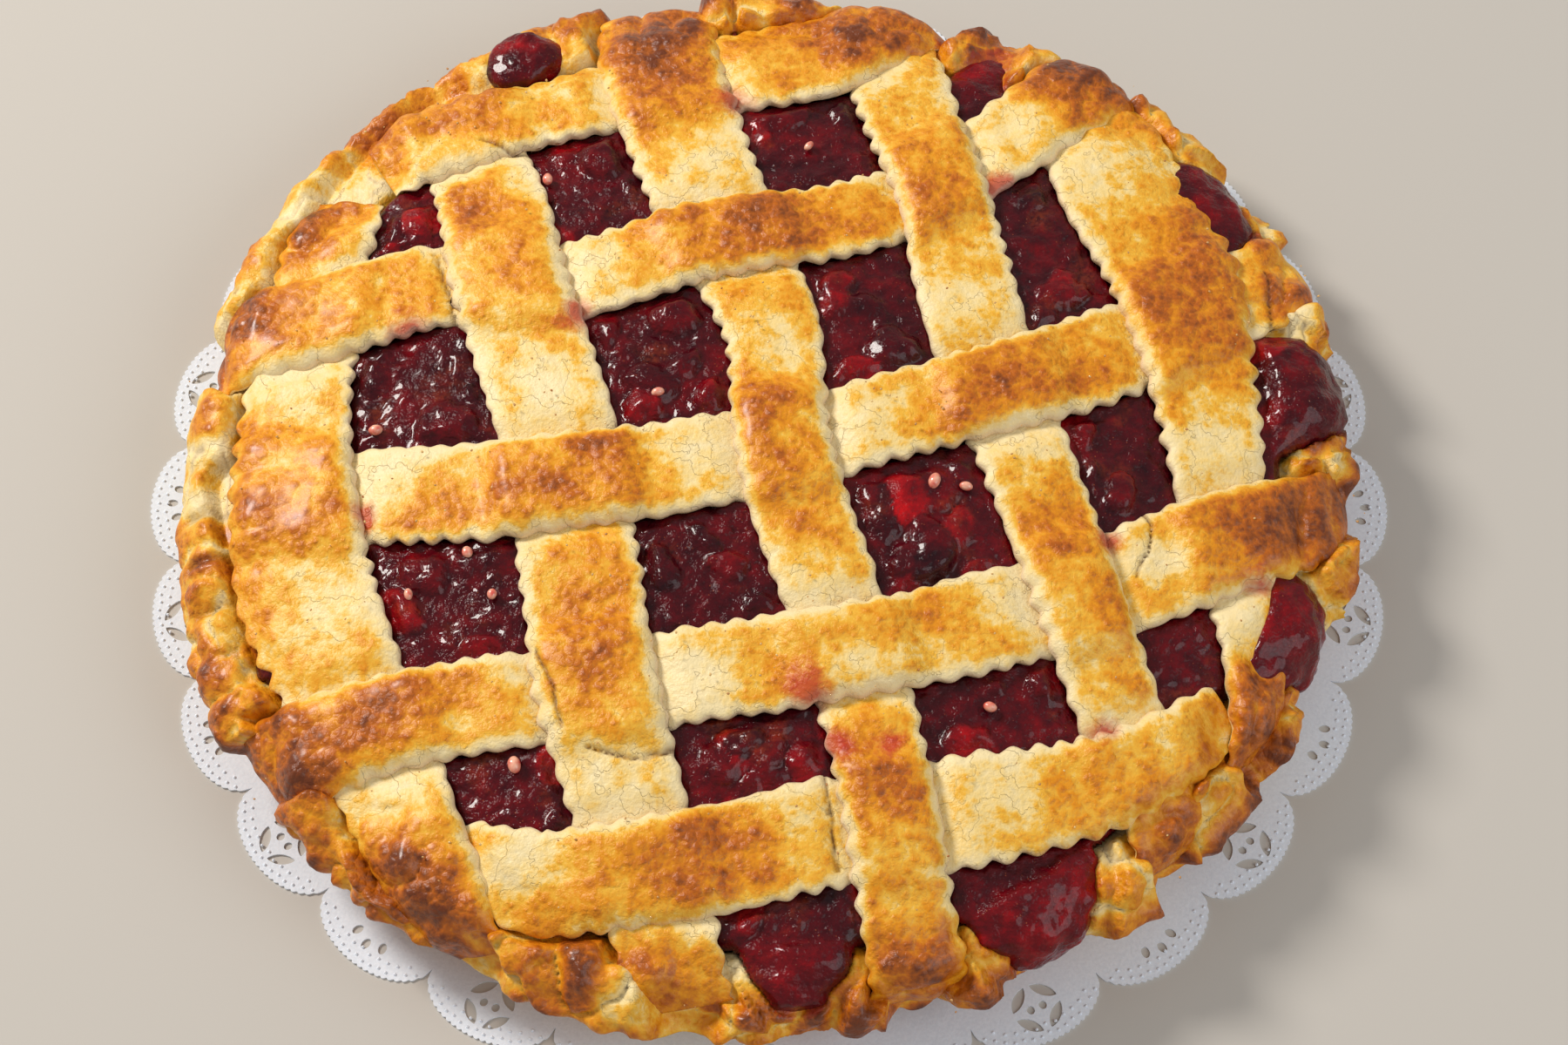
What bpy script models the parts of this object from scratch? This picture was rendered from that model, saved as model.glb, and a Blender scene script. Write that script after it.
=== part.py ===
"""A cherry pie with a woven lattice top, standing on a round paper doily.

Metres, +Z up. The origin is the middle of the doily's underside. The pie lies a little towards -Y of it.

Dough and filling are laid out on one curved layer: a low dome that rolls over the rim and down its outer
side. A place on it is given by across (the distance from the pie's axis, measured outwards and then round
the rim), bearing (the angle about the axis) and lift (the distance along the layer's normal).
"""

import math

import bmesh
import bpy
import numpy as np
from mathutils import Vector

MM = 0.001
TURN = math.tau

# The paper doily
DOILY_LOBES = 28
DOILY_TIP = 124.6 * MM
DOILY_NOTCH = 116.4 * MM
DOILY_THICKNESS = 0.4 * MM
FIRST_LOBE = math.radians(-0.9)
LOBE_SEGMENTS = 5
PETAL_FROM, PETAL_TO, PETAL_WIDTH = 114.4 * MM, 120.4 * MM, 3.2 * MM

# The pie
PIE_MIDDLE = Vector((0, -4.6 * MM, 0))
DOME_TOP = 34 * MM
DOME_FALL = 10 * MM
DOME_POWER = 2.1
RIM_START = 103 * MM
RIM_ROLL = 11 * MM
BASE_RADIUS = 93 * MM
CRUST_THICKNESS = 4.2 * MM
LIP_WIDTH = 3 * MM
SPILL_GAP = 0.75 * MM
GAP = 0.35 * MM

# The lattice strips
STRIP_THICKNESS = 3 * MM
WEAVE_LIFT = 1.95 * MM
WAVE_PITCH = 7 * MM
WAVE_DEPTH = 1.1 * MM
WEAVE_FLAT = 2 * MM
WEAVE_SLOPE = 7 * MM

# Strips that run along the rim are shaped across their width too
RIM_STRIPS = ("strip_v1", "strip_v5", "strip_h1", "strip_h2", "strip_h5")

# How far the crust and the filling lie below the middle of the layer
CRUST_DEPTH = 4.4 * MM
FILLING_DEPTH = 4.7 * MM
PILLOW_HEIGHT = 3.3 * MM

BEARINGS = 36
DOUGH_COLOUR = (0.70, 0.37, 0.10, 1)
CRUST_COLOUR = (0.56, 0.26, 0.07, 1)
FILLING_COLOUR = (0.12, 0.006, 0.012, 1)
PAPER_COLOUR = (0.80, 0.85, 0.92, 1)

# Centre lines of the strips as (x, y, width) in millimetres from the pie's axis. V runs from the far side
# to the near side, counted from the left. H runs from left to right, counted from the far side.
V_STRIPS = (
    (
        (-84, 62, 15), (-88, 41, 16), (-91, 10, 20), (-88, -21, 24),
        (-81, -41, 22), (-69, -67, 19), (-56, -101, 18),
    ),
    (
        (-63, 85, 19), (-55, 59, 22), (-50, 36, 23), (-41, 7, 23),
        (-36, -23, 23), (-31, -53, 23), (-15, -111, 18),
    ),
    (
        (-23, 115, 23), (-20, 89, 25), (-11, 59, 23), (1, 26, 19),
        (4, -4, 19), (18, -54, 18), (28, -112, 17),
    ),
    (
        (24, 101, 18), (30, 80, 20), (36, 58, 19), (41, 30, 20),
        (53, -13, 18), (63, -47, 17), (77, -85, 16),
    ),
    (
        (66, 75, 20), (71, 60, 22), (80, 40, 23), (85, 14, 20),
        (88, -16, 16), (91, -35, 13), (93, -63, 13),
    ),
)
H_STRIPS = (
    (
        (-77, 70, 14), (-61, 77, 16), (-40, 84, 16), (-18, 90, 19),
        (3, 94, 20), (16, 98, 20), (33, 110, 20),
    ),
    (
        (-111, 28, 20), (-90, 33, 20), (-66, 40, 20), (-37, 40, 19),
        (-14, 47, 19), (25, 57, 18), (70, 91, 18),
    ),
    (
        (-98, -5, 19), (-80, -7, 20), (-50, -8, 21), (-15, -4, 20),
        (20, 5, 19), (63, 20, 20), (102, 44, 19),
    ),
    (
        (-98, -61, 19), (-68, -54, 19), (-18, -48, 19), (22, -42, 19),
        (59, -31, 20), (82, -21, 21), (114, -6, 17),
    ),
    (
        (-48, -84, 15), (-38, -86, 19), (-12, -83, 20), (10, -78, 20),
        (35, -74, 21), (63, -67, 17), (86, -53, 12),
    ),
)

# Where filling has run out over the rim: bearing and half width in degrees, then where across it swells
# and how far it reaches.
OVERFLOWS = (
    (9.5, 5.5, 102 * MM, 117 * MM),
    (-19.5, 3.5, 109 * MM, 118 * MM),
    (34, 4, 105.5 * MM, 114 * MM),
    (64, 3.5, 102.5 * MM, 111 * MM),
    (-61.5, 5.5, 102.5 * MM, 119 * MM),
    (-86.5, 4.5, 102.5 * MM, 116 * MM),
)

OVERFLOW_SIDE = 1.7

# The cherry pushed out on the far side of the rim
CHERRY_BEARING = 117
CHERRY_ACROSS = 110.5 * MM
CHERRY_HALF_WIDTH = 7.2 * MM
CHERRY_HALF_DEPTH = 6 * MM
CHERRY_HEIGHT = 11 * MM


def clear_scene():
    for thing in list(bpy.data.objects):
        bpy.data.objects.remove(thing)


def material(name, colour, roughness):
    made = bpy.data.materials.new(name)
    made.use_nodes = True
    shader = made.node_tree.nodes["Principled BSDF"]
    shader.inputs["Base Color"].default_value = colour
    shader.inputs["Roughness"].default_value = roughness
    made.diffuse_color = colour
    return made


def add_object(name, data, look):
    data.materials.append(look)
    made = bpy.data.objects.new(name, data)
    bpy.context.scene.collection.objects.link(made)
    return made


def smooth_step(value):
    value = min(1.0, max(0.0, value))
    return value * value * (3 - 2 * value)


def rim_wander(bearing):
    """How far the rim strays from a true circle."""
    return (1.2 * math.sin(3 * bearing + 1) + 0.8 * math.sin(7 * bearing + 2)) * MM


def layer_point(across, bearing, lift):
    """A point of the curved layer, in the pie's own frame."""
    start = RIM_START + rim_wander(bearing)
    lean_at_rim = math.atan(DOME_FALL * DOME_POWER / RIM_START)
    if across <= start:
        share = across / start
        radius = across
        height = DOME_TOP - DOME_FALL * share**DOME_POWER
        lean = math.atan(DOME_FALL * DOME_POWER / start * share ** (DOME_POWER - 1))
    else:
        lean = lean_at_rim + (across - start) / RIM_ROLL
        radius = start + RIM_ROLL * (math.sin(lean) - math.sin(lean_at_rim))
        height = DOME_TOP - DOME_FALL + RIM_ROLL * (math.cos(lean) - math.cos(lean_at_rim))
    radius += lift * math.sin(lean)
    height += lift * math.cos(lean)
    return Vector((radius * math.cos(bearing), radius * math.sin(bearing), height))


def smooth_path(points, step):
    """Points at even steps along a Catmull-Rom curve through (x, y, width) points in millimetres."""
    knots = np.array(points, float) * MM
    knots = np.vstack([2 * knots[0] - knots[1], knots, 2 * knots[-1] - knots[-2]])
    fine = []
    for a, b, c, d in zip(knots, knots[1:], knots[2:], knots[3:]):
        for t in np.linspace(0, 1, 24, endpoint=False):
            bend = (2 * a - 5 * b + 4 * c - d) * t**2 + (3 * b - a - 3 * c + d) * t**3
            fine.append(b + ((c - a) * t + bend) / 2)
    fine = np.array(fine + [knots[-2]])
    along = np.concatenate([[0], np.cumsum(np.linalg.norm(np.diff(fine[:, :2], axis=0), axis=1))])
    at = np.linspace(0, along[-1], round(along[-1] / step) + 1)
    return np.stack([np.interp(at, along, fine[:, k]) for k in range(3)], axis=1)


def edge_distance(path, x, y):
    """How far a place is outside a strip's edge; negative under or over the strip."""
    gaps = np.hypot(path[:, 0] - x, path[:, 1] - y)
    nearest = int(np.argmin(gaps))
    return gaps[nearest] - path[nearest, 2] / 2


def weave_lift(x, y, crossed, goes_over):
    """The lift of a strip's middle: over or under each strip it crosses, and down on the crust at the rim."""
    rest = -WEAVE_LIFT * smooth_step((math.hypot(x, y) - RIM_START + 8 * MM) / (8 * MM))
    lift, taken = 0.0, 0.0
    for path, over in zip(crossed, goes_over):
        outside = edge_distance(path, x, y) - WAVE_DEPTH - WEAVE_FLAT
        share = 1 - smooth_step(outside / WEAVE_SLOPE)
        lift += share * WEAVE_LIFT * (1 if over else -1)
        taken = max(taken, share)
    return max(-WEAVE_LIFT, min(WEAVE_LIFT, lift + (1 - taken) * rest))


def build_strip(name, path, crossed, goes_over, look):
    """A ribbon with pinked edges, laid on the dome and thickened evenly about its middle."""
    mesh = bpy.data.meshes.new(name)
    ribbon = bmesh.new()
    columns = (1, 0, -1) if name in RIM_STRIPS else (1, -1)
    ahead = np.gradient(path[:, :2], axis=0)
    sides = np.stack([-ahead[:, 1], ahead[:, 0]], axis=1) / np.linalg.norm(ahead, axis=1)[:, None]
    rows = []
    for station, (x, y, width) in enumerate(path):
        tooth = WAVE_DEPTH / 2 * (1 if station % 2 else -1)
        row = []
        for side in columns:
            reach = side * (width / 2 + tooth)
            px, py = x + sides[station, 0] * reach, y + sides[station, 1] * reach
            lift = weave_lift(px, py, crossed, goes_over)
            row.append(ribbon.verts.new(layer_point(math.hypot(px, py), math.atan2(py, px), lift)))
        rows.append(row)
    for near, far in zip(rows, rows[1:]):
        for k in range(len(columns) - 1):
            ribbon.faces.new((near[k], far[k], far[k + 1], near[k + 1]))
    ribbon.to_mesh(mesh)
    ribbon.free()
    strip = add_object(name, mesh, look)
    strip.location = PIE_MIDDLE
    thickness = strip.modifiers.new("Thickness", "SOLIDIFY")
    thickness.thickness = STRIP_THICKNESS
    thickness.offset = 0


def build_lattice(v_paths, h_paths, look):
    """Two sets of strips woven over and under: H goes over V where their numbers add up to an odd number."""
    for v, path in enumerate(v_paths, 1):
        goes_over = [(h + v) % 2 == 0 for h in range(1, len(h_paths) + 1)]
        build_strip(f"strip_v{v}", path, h_paths, goes_over, look)
    for h, path in enumerate(h_paths, 1):
        goes_over = [(h + v) % 2 == 1 for v in range(1, len(v_paths) + 1)]
        build_strip(f"strip_h{h}", path, v_paths, goes_over, look)


def turned_body(name, bearings, profile_at, look):
    """A closed body from one profile for each bearing; each profile starts and ends on the axis."""
    mesh = bpy.data.meshes.new(name)
    body = bmesh.new()
    profiles = [profile_at(bearing) for bearing in bearings]
    first = body.verts.new(profiles[0][0])
    last = body.verts.new(profiles[0][-1])
    columns = [[body.verts.new(point) for point in profile[1:-1]] for profile in profiles]
    for near, far in zip(columns, columns[1:] + columns[:1]):
        body.faces.new((first, near[0], far[0]))
        for k in range(len(near) - 1):
            body.faces.new((near[k], near[k + 1], far[k + 1], far[k]))
        body.faces.new((near[-1], last, far[-1]))
    bmesh.ops.recalc_face_normals(body, faces=body.faces)
    body.to_mesh(mesh)
    body.free()
    mesh.shade_smooth()
    mesh.set_sharp_from_angle(angle=math.radians(50))
    add_object(name, mesh, look).location = PIE_MIDDLE


def polar(radius, bearing, height):
    return Vector((radius * math.cos(bearing), radius * math.sin(bearing), height))


def body_bearings():
    """Even bearings all round, with extra ones at the sides of each overflow."""
    found = [TURN * k / BEARINGS for k in range(BEARINGS)]
    for middle, half, _, _ in OVERFLOWS:
        for offset in (-half - OVERFLOW_SIDE + 0.1, -half, half, half + OVERFLOW_SIDE - 0.1):
            found.append(math.radians(middle + offset) % TURN)
    found.sort()
    kept = []
    for bearing in found:
        if not kept or bearing - kept[-1] > math.radians(0.9):
            kept.append(bearing)
    return kept


def crust_profile(bearing):
    """The bottom crust: flat base, sloping side, rolled rim, and the inner wall down to the floor."""
    base = DOILY_THICKNESS + GAP
    floor = base + CRUST_THICKNESS
    wander = rim_wander(bearing)
    start = RIM_START + wander
    underside = [
        polar(0, bearing, base),
        polar(BASE_RADIUS, bearing, base),
        polar(BASE_RADIUS + 5 * MM, bearing, 4.5 * MM),
        polar(BASE_RADIUS + 12 * MM + wander, bearing, 8.5 * MM),
    ]
    rim = [layer_point(start + RIM_ROLL * turn, bearing, -CRUST_DEPTH) for turn in (1.5, 1.05, 0.6, 0.25, 0)]
    inside = [
        layer_point(start - LIP_WIDTH, bearing, -CRUST_DEPTH - 1 * MM),
        polar(start - 6.5 * MM, bearing, 16.2 * MM),
        polar(start - 13 * MM, bearing, floor + 1.2 * MM),
        polar(start - 17 * MM, bearing, floor),
        polar(0, bearing, floor),
    ]
    return underside + rim + inside


def overflow(bearing, start):
    """Where the filling swells and where it ends at this bearing, and how thick it lies on the rim."""
    for middle, half, swell, reach in OVERFLOWS:
        away = abs((math.degrees(bearing) - middle + 180) % 360 - 180)
        if away <= half + 0.1:
            return swell, reach - 6 * MM * (away / half) ** 2, 2.6 * MM * (1 - 0.5 * (away / half) ** 2)
        if away <= half + OVERFLOW_SIDE:
            return start - 0.3 * MM, start + 1.5 * MM, 0.2 * MM
    return None


def build_filling(bearings, paths, look):
    """The cooked filling from the crust's floor to the lattice, swelling up in the openings."""
    floor = DOILY_THICKNESS + CRUST_THICKNESS + 2 * GAP
    rings = [k * 11 * MM for k in range(1, 9)]

    def top_point(across, bearing):
        x, y = across * math.cos(bearing), across * math.sin(bearing)
        clear = min(edge_distance(path, x, y) for path in paths)
        pillow = PILLOW_HEIGHT * smooth_step((clear - 2.5 * MM) / (5.5 * MM))
        return layer_point(across, bearing, pillow - FILLING_DEPTH)

    def profile(bearing):
        start = RIM_START + rim_wander(bearing)
        top = [layer_point(0, 0, -FILLING_DEPTH)] + [top_point(ring, bearing) for ring in rings]
        edge = [layer_point(start - 8 * MM, bearing, -FILLING_DEPTH)]
        spilled = overflow(bearing, start)
        if spilled:
            swell, reach, height = spilled
            lip = start - LIP_WIDTH - GAP
            seat = SPILL_GAP - CRUST_DEPTH
            edge += [
                layer_point(start - LIP_WIDTH, bearing, seat + 0.1 * height),
                layer_point(swell - 2 * MM, bearing, seat + 0.12 * height),
                layer_point(swell + 1 * MM, bearing, seat + height),
                layer_point(reach, bearing, seat + 0.7 * height),
            ]
            edge += [layer_point(lip + (reach - lip) * k / 4, bearing, seat) for k in (4, 3, 2, 1, 0)]
        else:
            edge += [layer_point(start - across * MM, bearing, -FILLING_DEPTH) for across in (7, 6.4, 5.8, 5.1)]
            for k in (4, 3, 2, 1, 0):
                edge.append(polar(start - (6.4 - 0.25 * k) * MM, bearing, (17.6 + 0.6 * k) * MM))
        underside = [
            polar(start - 7.1 * MM, bearing, 16.3 * MM),
            polar(start - 13.6 * MM, bearing, floor + 1.4 * MM),
            polar(start - 17.3 * MM, bearing, floor),
            polar(0, bearing, floor),
        ]
        return top + edge + underside

    turned_body("filling", bearings, profile, look)


def build_cherry(look):
    """A cherry squashed onto the rim: a dome whose underside follows the crust."""
    bearing = math.radians(CHERRY_BEARING)
    low = GAP - CRUST_DEPTH
    mesh = bpy.data.meshes.new("rim_cherry")
    ball = bmesh.new()
    bmesh.ops.create_icosphere(ball, subdivisions=2, radius=1)
    for vertex in ball.verts:
        side, out, up = vertex.co
        lift = low + CHERRY_HEIGHT * max(0, 0.45 + 0.55 * up)
        across = CHERRY_ACROSS + CHERRY_HALF_DEPTH * out
        turned = bearing - CHERRY_HALF_WIDTH * side / RIM_START
        vertex.co = layer_point(across, turned, lift)
    bmesh.ops.recalc_face_normals(ball, faces=ball.faces)
    ball.to_mesh(mesh)
    ball.free()
    mesh.shade_smooth()
    add_object("rim_cherry", mesh, look).location = PIE_MIDDLE


def add_outline(curve, points):
    """A closed outline in the curve's own plane."""
    spline = curve.splines.new("POLY")
    spline.points.add(len(points) - 1)
    for point, (radius, bearing) in zip(spline.points, points):
        point.co = (radius * math.cos(bearing), radius * math.sin(bearing), 0, 1)
    spline.use_cyclic_u = True


def build_doily(look):
    """A flat disc of paper whose edge is a ring of round lobes, each with a pointed cut-out."""
    half_lobe = TURN / DOILY_LOBES / 2
    half_chord = DOILY_NOTCH * math.sin(half_lobe)
    rise = DOILY_TIP - DOILY_NOTCH * math.cos(half_lobe)
    lobe_radius = (half_chord**2 + rise**2) / (2 * rise)
    lobe_middle = DOILY_TIP - lobe_radius
    half_arc = math.atan2(half_chord, lobe_radius - rise)
    curve = bpy.data.curves.new("doily", "CURVE")
    curve.dimensions = "2D"
    curve.fill_mode = "BOTH"
    curve.extrude = DOILY_THICKNESS / 2
    outline = []
    for lobe in range(DOILY_LOBES):
        middle = TURN * lobe / DOILY_LOBES + FIRST_LOBE
        for k in range(LOBE_SEGMENTS):
            turn = half_arc * (2 * k / LOBE_SEGMENTS - 1)
            x = lobe_middle + lobe_radius * math.cos(turn)
            y = lobe_radius * math.sin(turn)
            outline.append((math.hypot(x, y), middle + math.atan2(y, x)))
        half_petal = PETAL_WIDTH / 2 / PETAL_FROM
        waist = (PETAL_FROM + PETAL_TO) / 2
        sides = (waist, middle + half_petal), (waist, middle - half_petal)
        add_outline(curve, [(PETAL_FROM, middle), sides[0], (PETAL_TO, middle), sides[1]])
    add_outline(curve, outline)
    add_object("doily", curve, look).location.z = DOILY_THICKNESS / 2


def main():
    clear_scene()
    dough = material("dough", DOUGH_COLOUR, 0.45)
    baked = material("baked_crust", CRUST_COLOUR, 0.55)
    cherry_filling = material("cherry_filling", FILLING_COLOUR, 0.25)
    paper = material("paper", PAPER_COLOUR, 0.8)
    v_paths = [smooth_path(points, WAVE_PITCH / 2) for points in V_STRIPS]
    h_paths = [smooth_path(points, WAVE_PITCH / 2) for points in H_STRIPS]
    bearings = body_bearings()
    build_doily(paper)
    turned_body("crust", bearings, crust_profile, baked)
    build_filling(bearings, v_paths + h_paths, cherry_filling)
    build_lattice(v_paths, h_paths, dough)
    build_cherry(cherry_filling)


main()
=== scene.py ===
# %% [markdown]
# # A lattice-topped cherry pie
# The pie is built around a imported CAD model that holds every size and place. This script makes the looks:
# each CAD piece is replaced by a finer one that fills the same space. The strips of dough come first, then
# the crust, the filling, the paper doily, the small things lying on them, the finishes, and the stage.

# %% Load the frame
import math

import bmesh
import bpy
import numpy as np
from mathutils import Matrix, Vector


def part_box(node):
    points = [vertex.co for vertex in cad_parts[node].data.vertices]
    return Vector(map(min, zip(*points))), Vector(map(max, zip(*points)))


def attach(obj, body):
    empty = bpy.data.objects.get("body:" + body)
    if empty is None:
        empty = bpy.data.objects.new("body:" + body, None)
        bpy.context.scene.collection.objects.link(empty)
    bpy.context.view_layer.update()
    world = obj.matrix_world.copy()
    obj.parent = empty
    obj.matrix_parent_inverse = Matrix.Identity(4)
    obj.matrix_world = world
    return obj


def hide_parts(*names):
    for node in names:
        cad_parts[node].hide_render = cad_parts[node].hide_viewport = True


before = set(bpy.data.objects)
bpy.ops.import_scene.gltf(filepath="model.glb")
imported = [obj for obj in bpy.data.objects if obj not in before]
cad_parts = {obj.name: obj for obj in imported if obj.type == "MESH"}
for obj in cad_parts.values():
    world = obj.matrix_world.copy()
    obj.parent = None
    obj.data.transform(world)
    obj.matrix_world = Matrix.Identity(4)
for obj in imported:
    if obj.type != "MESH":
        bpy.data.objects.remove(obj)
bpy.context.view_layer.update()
MM = 0.001
TURN = math.tau
crust_foot = float(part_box("crust")[0][2])
doily_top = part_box("doily")[1][2]
# The pie was set down a little off the middle of the doily
PIE_MIDDLE = np.array([0, -4.6 * MM, 0])

# %% [markdown]
# ## Smooth noise
# Nothing baked is even. Blender has noise textures for shaders, but the shapes need the same kind of noise
# on their points, so a small one is written here: random numbers on a cubic lattice, blended smoothly.
# Several sizes added together look like dough or jam.


# %% Noise for shapes
def smooth_step(value):
    """0 below 0, 1 above 1, and a smooth rise between."""
    value = np.clip(value, 0, 1)
    return value * value * (3 - 2 * value)


def lattice_value(ix, iy, iz, seed):
    """A repeatable random number from -1 to 1 for each lattice point."""
    mixed = (ix * 374761393 + iy * 668265263 + iz * 1440662683 + seed * 1274126177) & 0xFFFFFFFF
    mixed = ((mixed ^ (mixed >> 13)) * 1274126177) & 0xFFFFFFFF
    return ((mixed ^ (mixed >> 16)) & 0xFFFF) / 32767.5 - 1


def noise(points, size, seed, octaves=1):
    """Smooth noise from about -1 to 1 at an array of points, with features of one size and finer ones."""
    total, weight = np.zeros(len(points)), 0.0
    for octave in range(octaves):
        scaled = points / (size / 2**octave) + seed * 7.31
        cell = np.floor(scaled).astype(np.int64)
        blend = smooth_step(scaled - cell)
        value = np.zeros(len(points))
        for corner in range(8):
            step = np.array([corner & 1, corner >> 1 & 1, corner >> 2 & 1])
            share = np.prod(np.where(step, blend, 1 - blend), axis=1)
            value += share * lattice_value(*(cell + step).T, seed + octave)
        total += value * 0.5**octave
        weight += 0.5**octave
    return total / weight


print("noise at the origin", float(noise(np.zeros((1, 3)), MM, 1)[0]))


# %% [markdown]
# ## The curved layer
# Dough and filling lie on one low dome that rolls over the rim of the dish the pie was baked in. Working on
# that layer makes everything simple: a place is an (x, y) seen from above, stretched out past the rim, and
# a lift along the layer's normal. One function bends such places into space.

# %% Bend flat places onto the dome
DOME_TOP, DOME_FALL, DOME_POWER = 34 * MM, 10 * MM, 2.1
RIM_START, RIM_ROLL = 103 * MM, 11 * MM
RIM_LEAN = math.atan(DOME_FALL * DOME_POWER / RIM_START)


def rim_wander(bearing):
    """How far the rim strays from a circle."""
    return (1.2 * np.sin(3 * bearing + 1) + 0.8 * np.sin(7 * bearing + 2)) * MM


def hill(bearing, middle, spread):
    """1 at a bearing in degrees, falling smoothly to 0 on both sides."""
    away = (np.degrees(bearing) - middle + 180) % 360 - 180
    return np.exp(-((away / spread) ** 2))


def rim_reach(bearing):
    """How far the baked rim slumped outwards: most on the far right."""
    return (1.7 + 1.4 * np.sin(bearing) + 4.6 * hill(bearing, 38, 30) + 2.4 * hill(bearing, 185, 42)) * MM


def brim_reach(bearing):
    """The same for the outermost edge alone, at the far left and far side."""
    return (3.4 * hill(bearing, 122, 32) + 1.6 * hill(bearing, 68, 16) + 1.2 * hill(bearing, 215, 20)) * MM


def layer(x, y, lift):
    """Points in space for flat places x, y and a lift, as an array of rows."""
    across, bearing = np.hypot(x, y), np.arctan2(y, x)
    start = RIM_START + rim_wander(bearing)
    share = np.minimum(across / start, 1)
    beyond = np.maximum(across - start, 0)
    lean = np.arctan(DOME_FALL * DOME_POWER / start * share ** (DOME_POWER - 1)) + beyond / RIM_ROLL
    radius = np.minimum(across, start) + RIM_ROLL * (np.sin(lean) - np.sin(RIM_LEAN)) * (beyond > 0)
    height = DOME_TOP - DOME_FALL * share**DOME_POWER
    height += RIM_ROLL * (np.cos(lean) - np.cos(RIM_LEAN)) * (beyond > 0)
    radius += rim_reach(bearing) * smooth_step((across - 88 * MM) / (20 * MM))
    radius += brim_reach(bearing) * smooth_step((across - 101 * MM) / (10 * MM))
    radius, height = radius + lift * np.sin(lean), height + lift * np.cos(lean)
    return np.stack([radius * np.cos(bearing), radius * np.sin(bearing), height], axis=1) + PIE_MIDDLE


print("the dome leans", round(math.degrees(RIM_LEAN), 1), "degrees where the rim starts")

# %% [markdown]
# ## Where the strips run
# A baker lays the strips by hand, so no two are parallel. Each route is a handful of points from above with
# the strip's width there, nearly as in the CAD, joined by a smooth curve. Offset straight bars would be
# quicker, but look machine made. V strips run from the far side to the near side, H strips from left to
# right. They cross over and under in turn, as in weaving.

# %% The routes
V_POINTS = (
    (
        (-84, 62, 15), (-88, 41, 16), (-91, 10, 20), (-88, -21, 24),
        (-81, -41, 22), (-69, -67, 19), (-56, -101, 18),
    ),
    (
        (-63, 85, 19), (-55, 59, 22), (-50, 36, 23), (-41, 7, 23),
        (-36, -23, 23), (-31, -53, 23), (-15, -111, 18),
    ),
    (
        (-23, 115, 23), (-20, 89, 25), (-11, 59, 23), (1, 26, 19),
        (4, -4, 19), (18, -54, 18), (28, -112, 17),
    ),
    (
        (24, 101, 18), (30, 80, 20), (36, 58, 19), (41, 30, 20),
        (53, -13, 18), (63, -47, 17), (77, -85, 16),
    ),
    (
        (61, 85, 18), (66, 75, 20), (71, 60, 22), (80, 40, 23),
        (85, 14, 20), (88, -16, 16), (91, -35, 13), (93, -63, 13),
    ),
)
H_POINTS = (
    (
        (-77, 70, 14), (-61, 77, 16), (-40, 84, 16), (-18, 90, 19),
        (3, 94, 20), (16, 98, 20), (33, 110, 20),
    ),
    (
        (-111, 28, 20), (-90, 33, 20), (-66, 40, 20), (-37, 40, 19),
        (-14, 47, 19), (25, 57, 18), (70, 91, 18),
    ),
    (
        (-98, -5, 19), (-80, -7, 20), (-50, -8, 21), (-15, -4, 20),
        (20, 5, 19), (63, 20, 20), (102, 44, 19), (113, 52, 18),
    ),
    (
        (-98, -61, 19), (-68, -54, 19), (-18, -48, 19), (22, -42, 19),
        (59, -31, 20), (82, -21, 21), (114, -6, 17),
    ),
    (
        (-59, -80, 14), (-48, -84, 17), (-38, -86, 19), (-12, -83, 20), (10, -78, 20),
        (35, -74, 21), (63, -67, 17), (86, -53, 12),
    ),
)
PIECES_PER_SPAN = 60


def route(points, step):
    """Rows of x, y, width at even steps along a Catmull-Rom curve."""
    knots = np.array(points, float) * MM
    knots = np.vstack([2 * knots[0] - knots[1], knots, 2 * knots[-1] - knots[-2]])
    fine = []
    for a, b, c, d in zip(knots, knots[1:], knots[2:], knots[3:]):
        for t in np.linspace(0, 1, PIECES_PER_SPAN, endpoint=False):
            bend = (2 * a - 5 * b + 4 * c - d) * t**2 + (3 * b - a - 3 * c + d) * t**3
            fine.append(b + ((c - a) * t + bend) / 2)
    fine = np.array(fine + [knots[-2]])
    along = np.concatenate([[0], np.cumsum(np.hypot(*np.diff(fine[:, :2], axis=0).T))])
    at = np.linspace(0, along[-1], round(along[-1] / step) + 1)
    return np.stack([np.interp(at, along, fine[:, k]) for k in range(3)], axis=1)


def beside(path, x, y):
    """How far each place is outside the edges of a strip; negative on the strip."""
    gap = np.full(np.shape(x), 1.0)
    for px, py, width in path:
        gap = np.minimum(gap, np.hypot(x - px, y - py) - width / 2)
    return gap


COARSE = 2 * MM
v_routes = [route(points, COARSE) for points in V_POINTS]
h_routes = [route(points, COARSE) for points in H_POINTS]
print(len(v_routes) + len(h_routes), "routes")

# %% [markdown]
# ## Meshes and their painted values
# Every piece is built with bmesh operators, then its points are moved all at once as an array. Values such
# as how brown the crust is are known best while the shape is made, so they are stored on the points as
# named attributes for the finishes to read.


# %% Helpers for pieces
def points_of(mesh):
    """A mesh's points as an array of rows."""
    flat = np.empty(len(mesh.vertices) * 3)
    mesh.vertices.foreach_get("co", flat)
    return flat.reshape(-1, 3)


def place_points(mesh, places):
    mesh.vertices.foreach_set("co", np.ascontiguousarray(places, np.float32).ravel())


def paint(mesh, **layers):
    """Stores values from 0 to 1 on the points of a mesh."""
    for name, values in layers.items():
        layer_data = mesh.attributes.new(name, "FLOAT", "POINT").data
        layer_data.foreach_set("value", np.clip(values, 0, 1).astype(np.float32))


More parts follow.
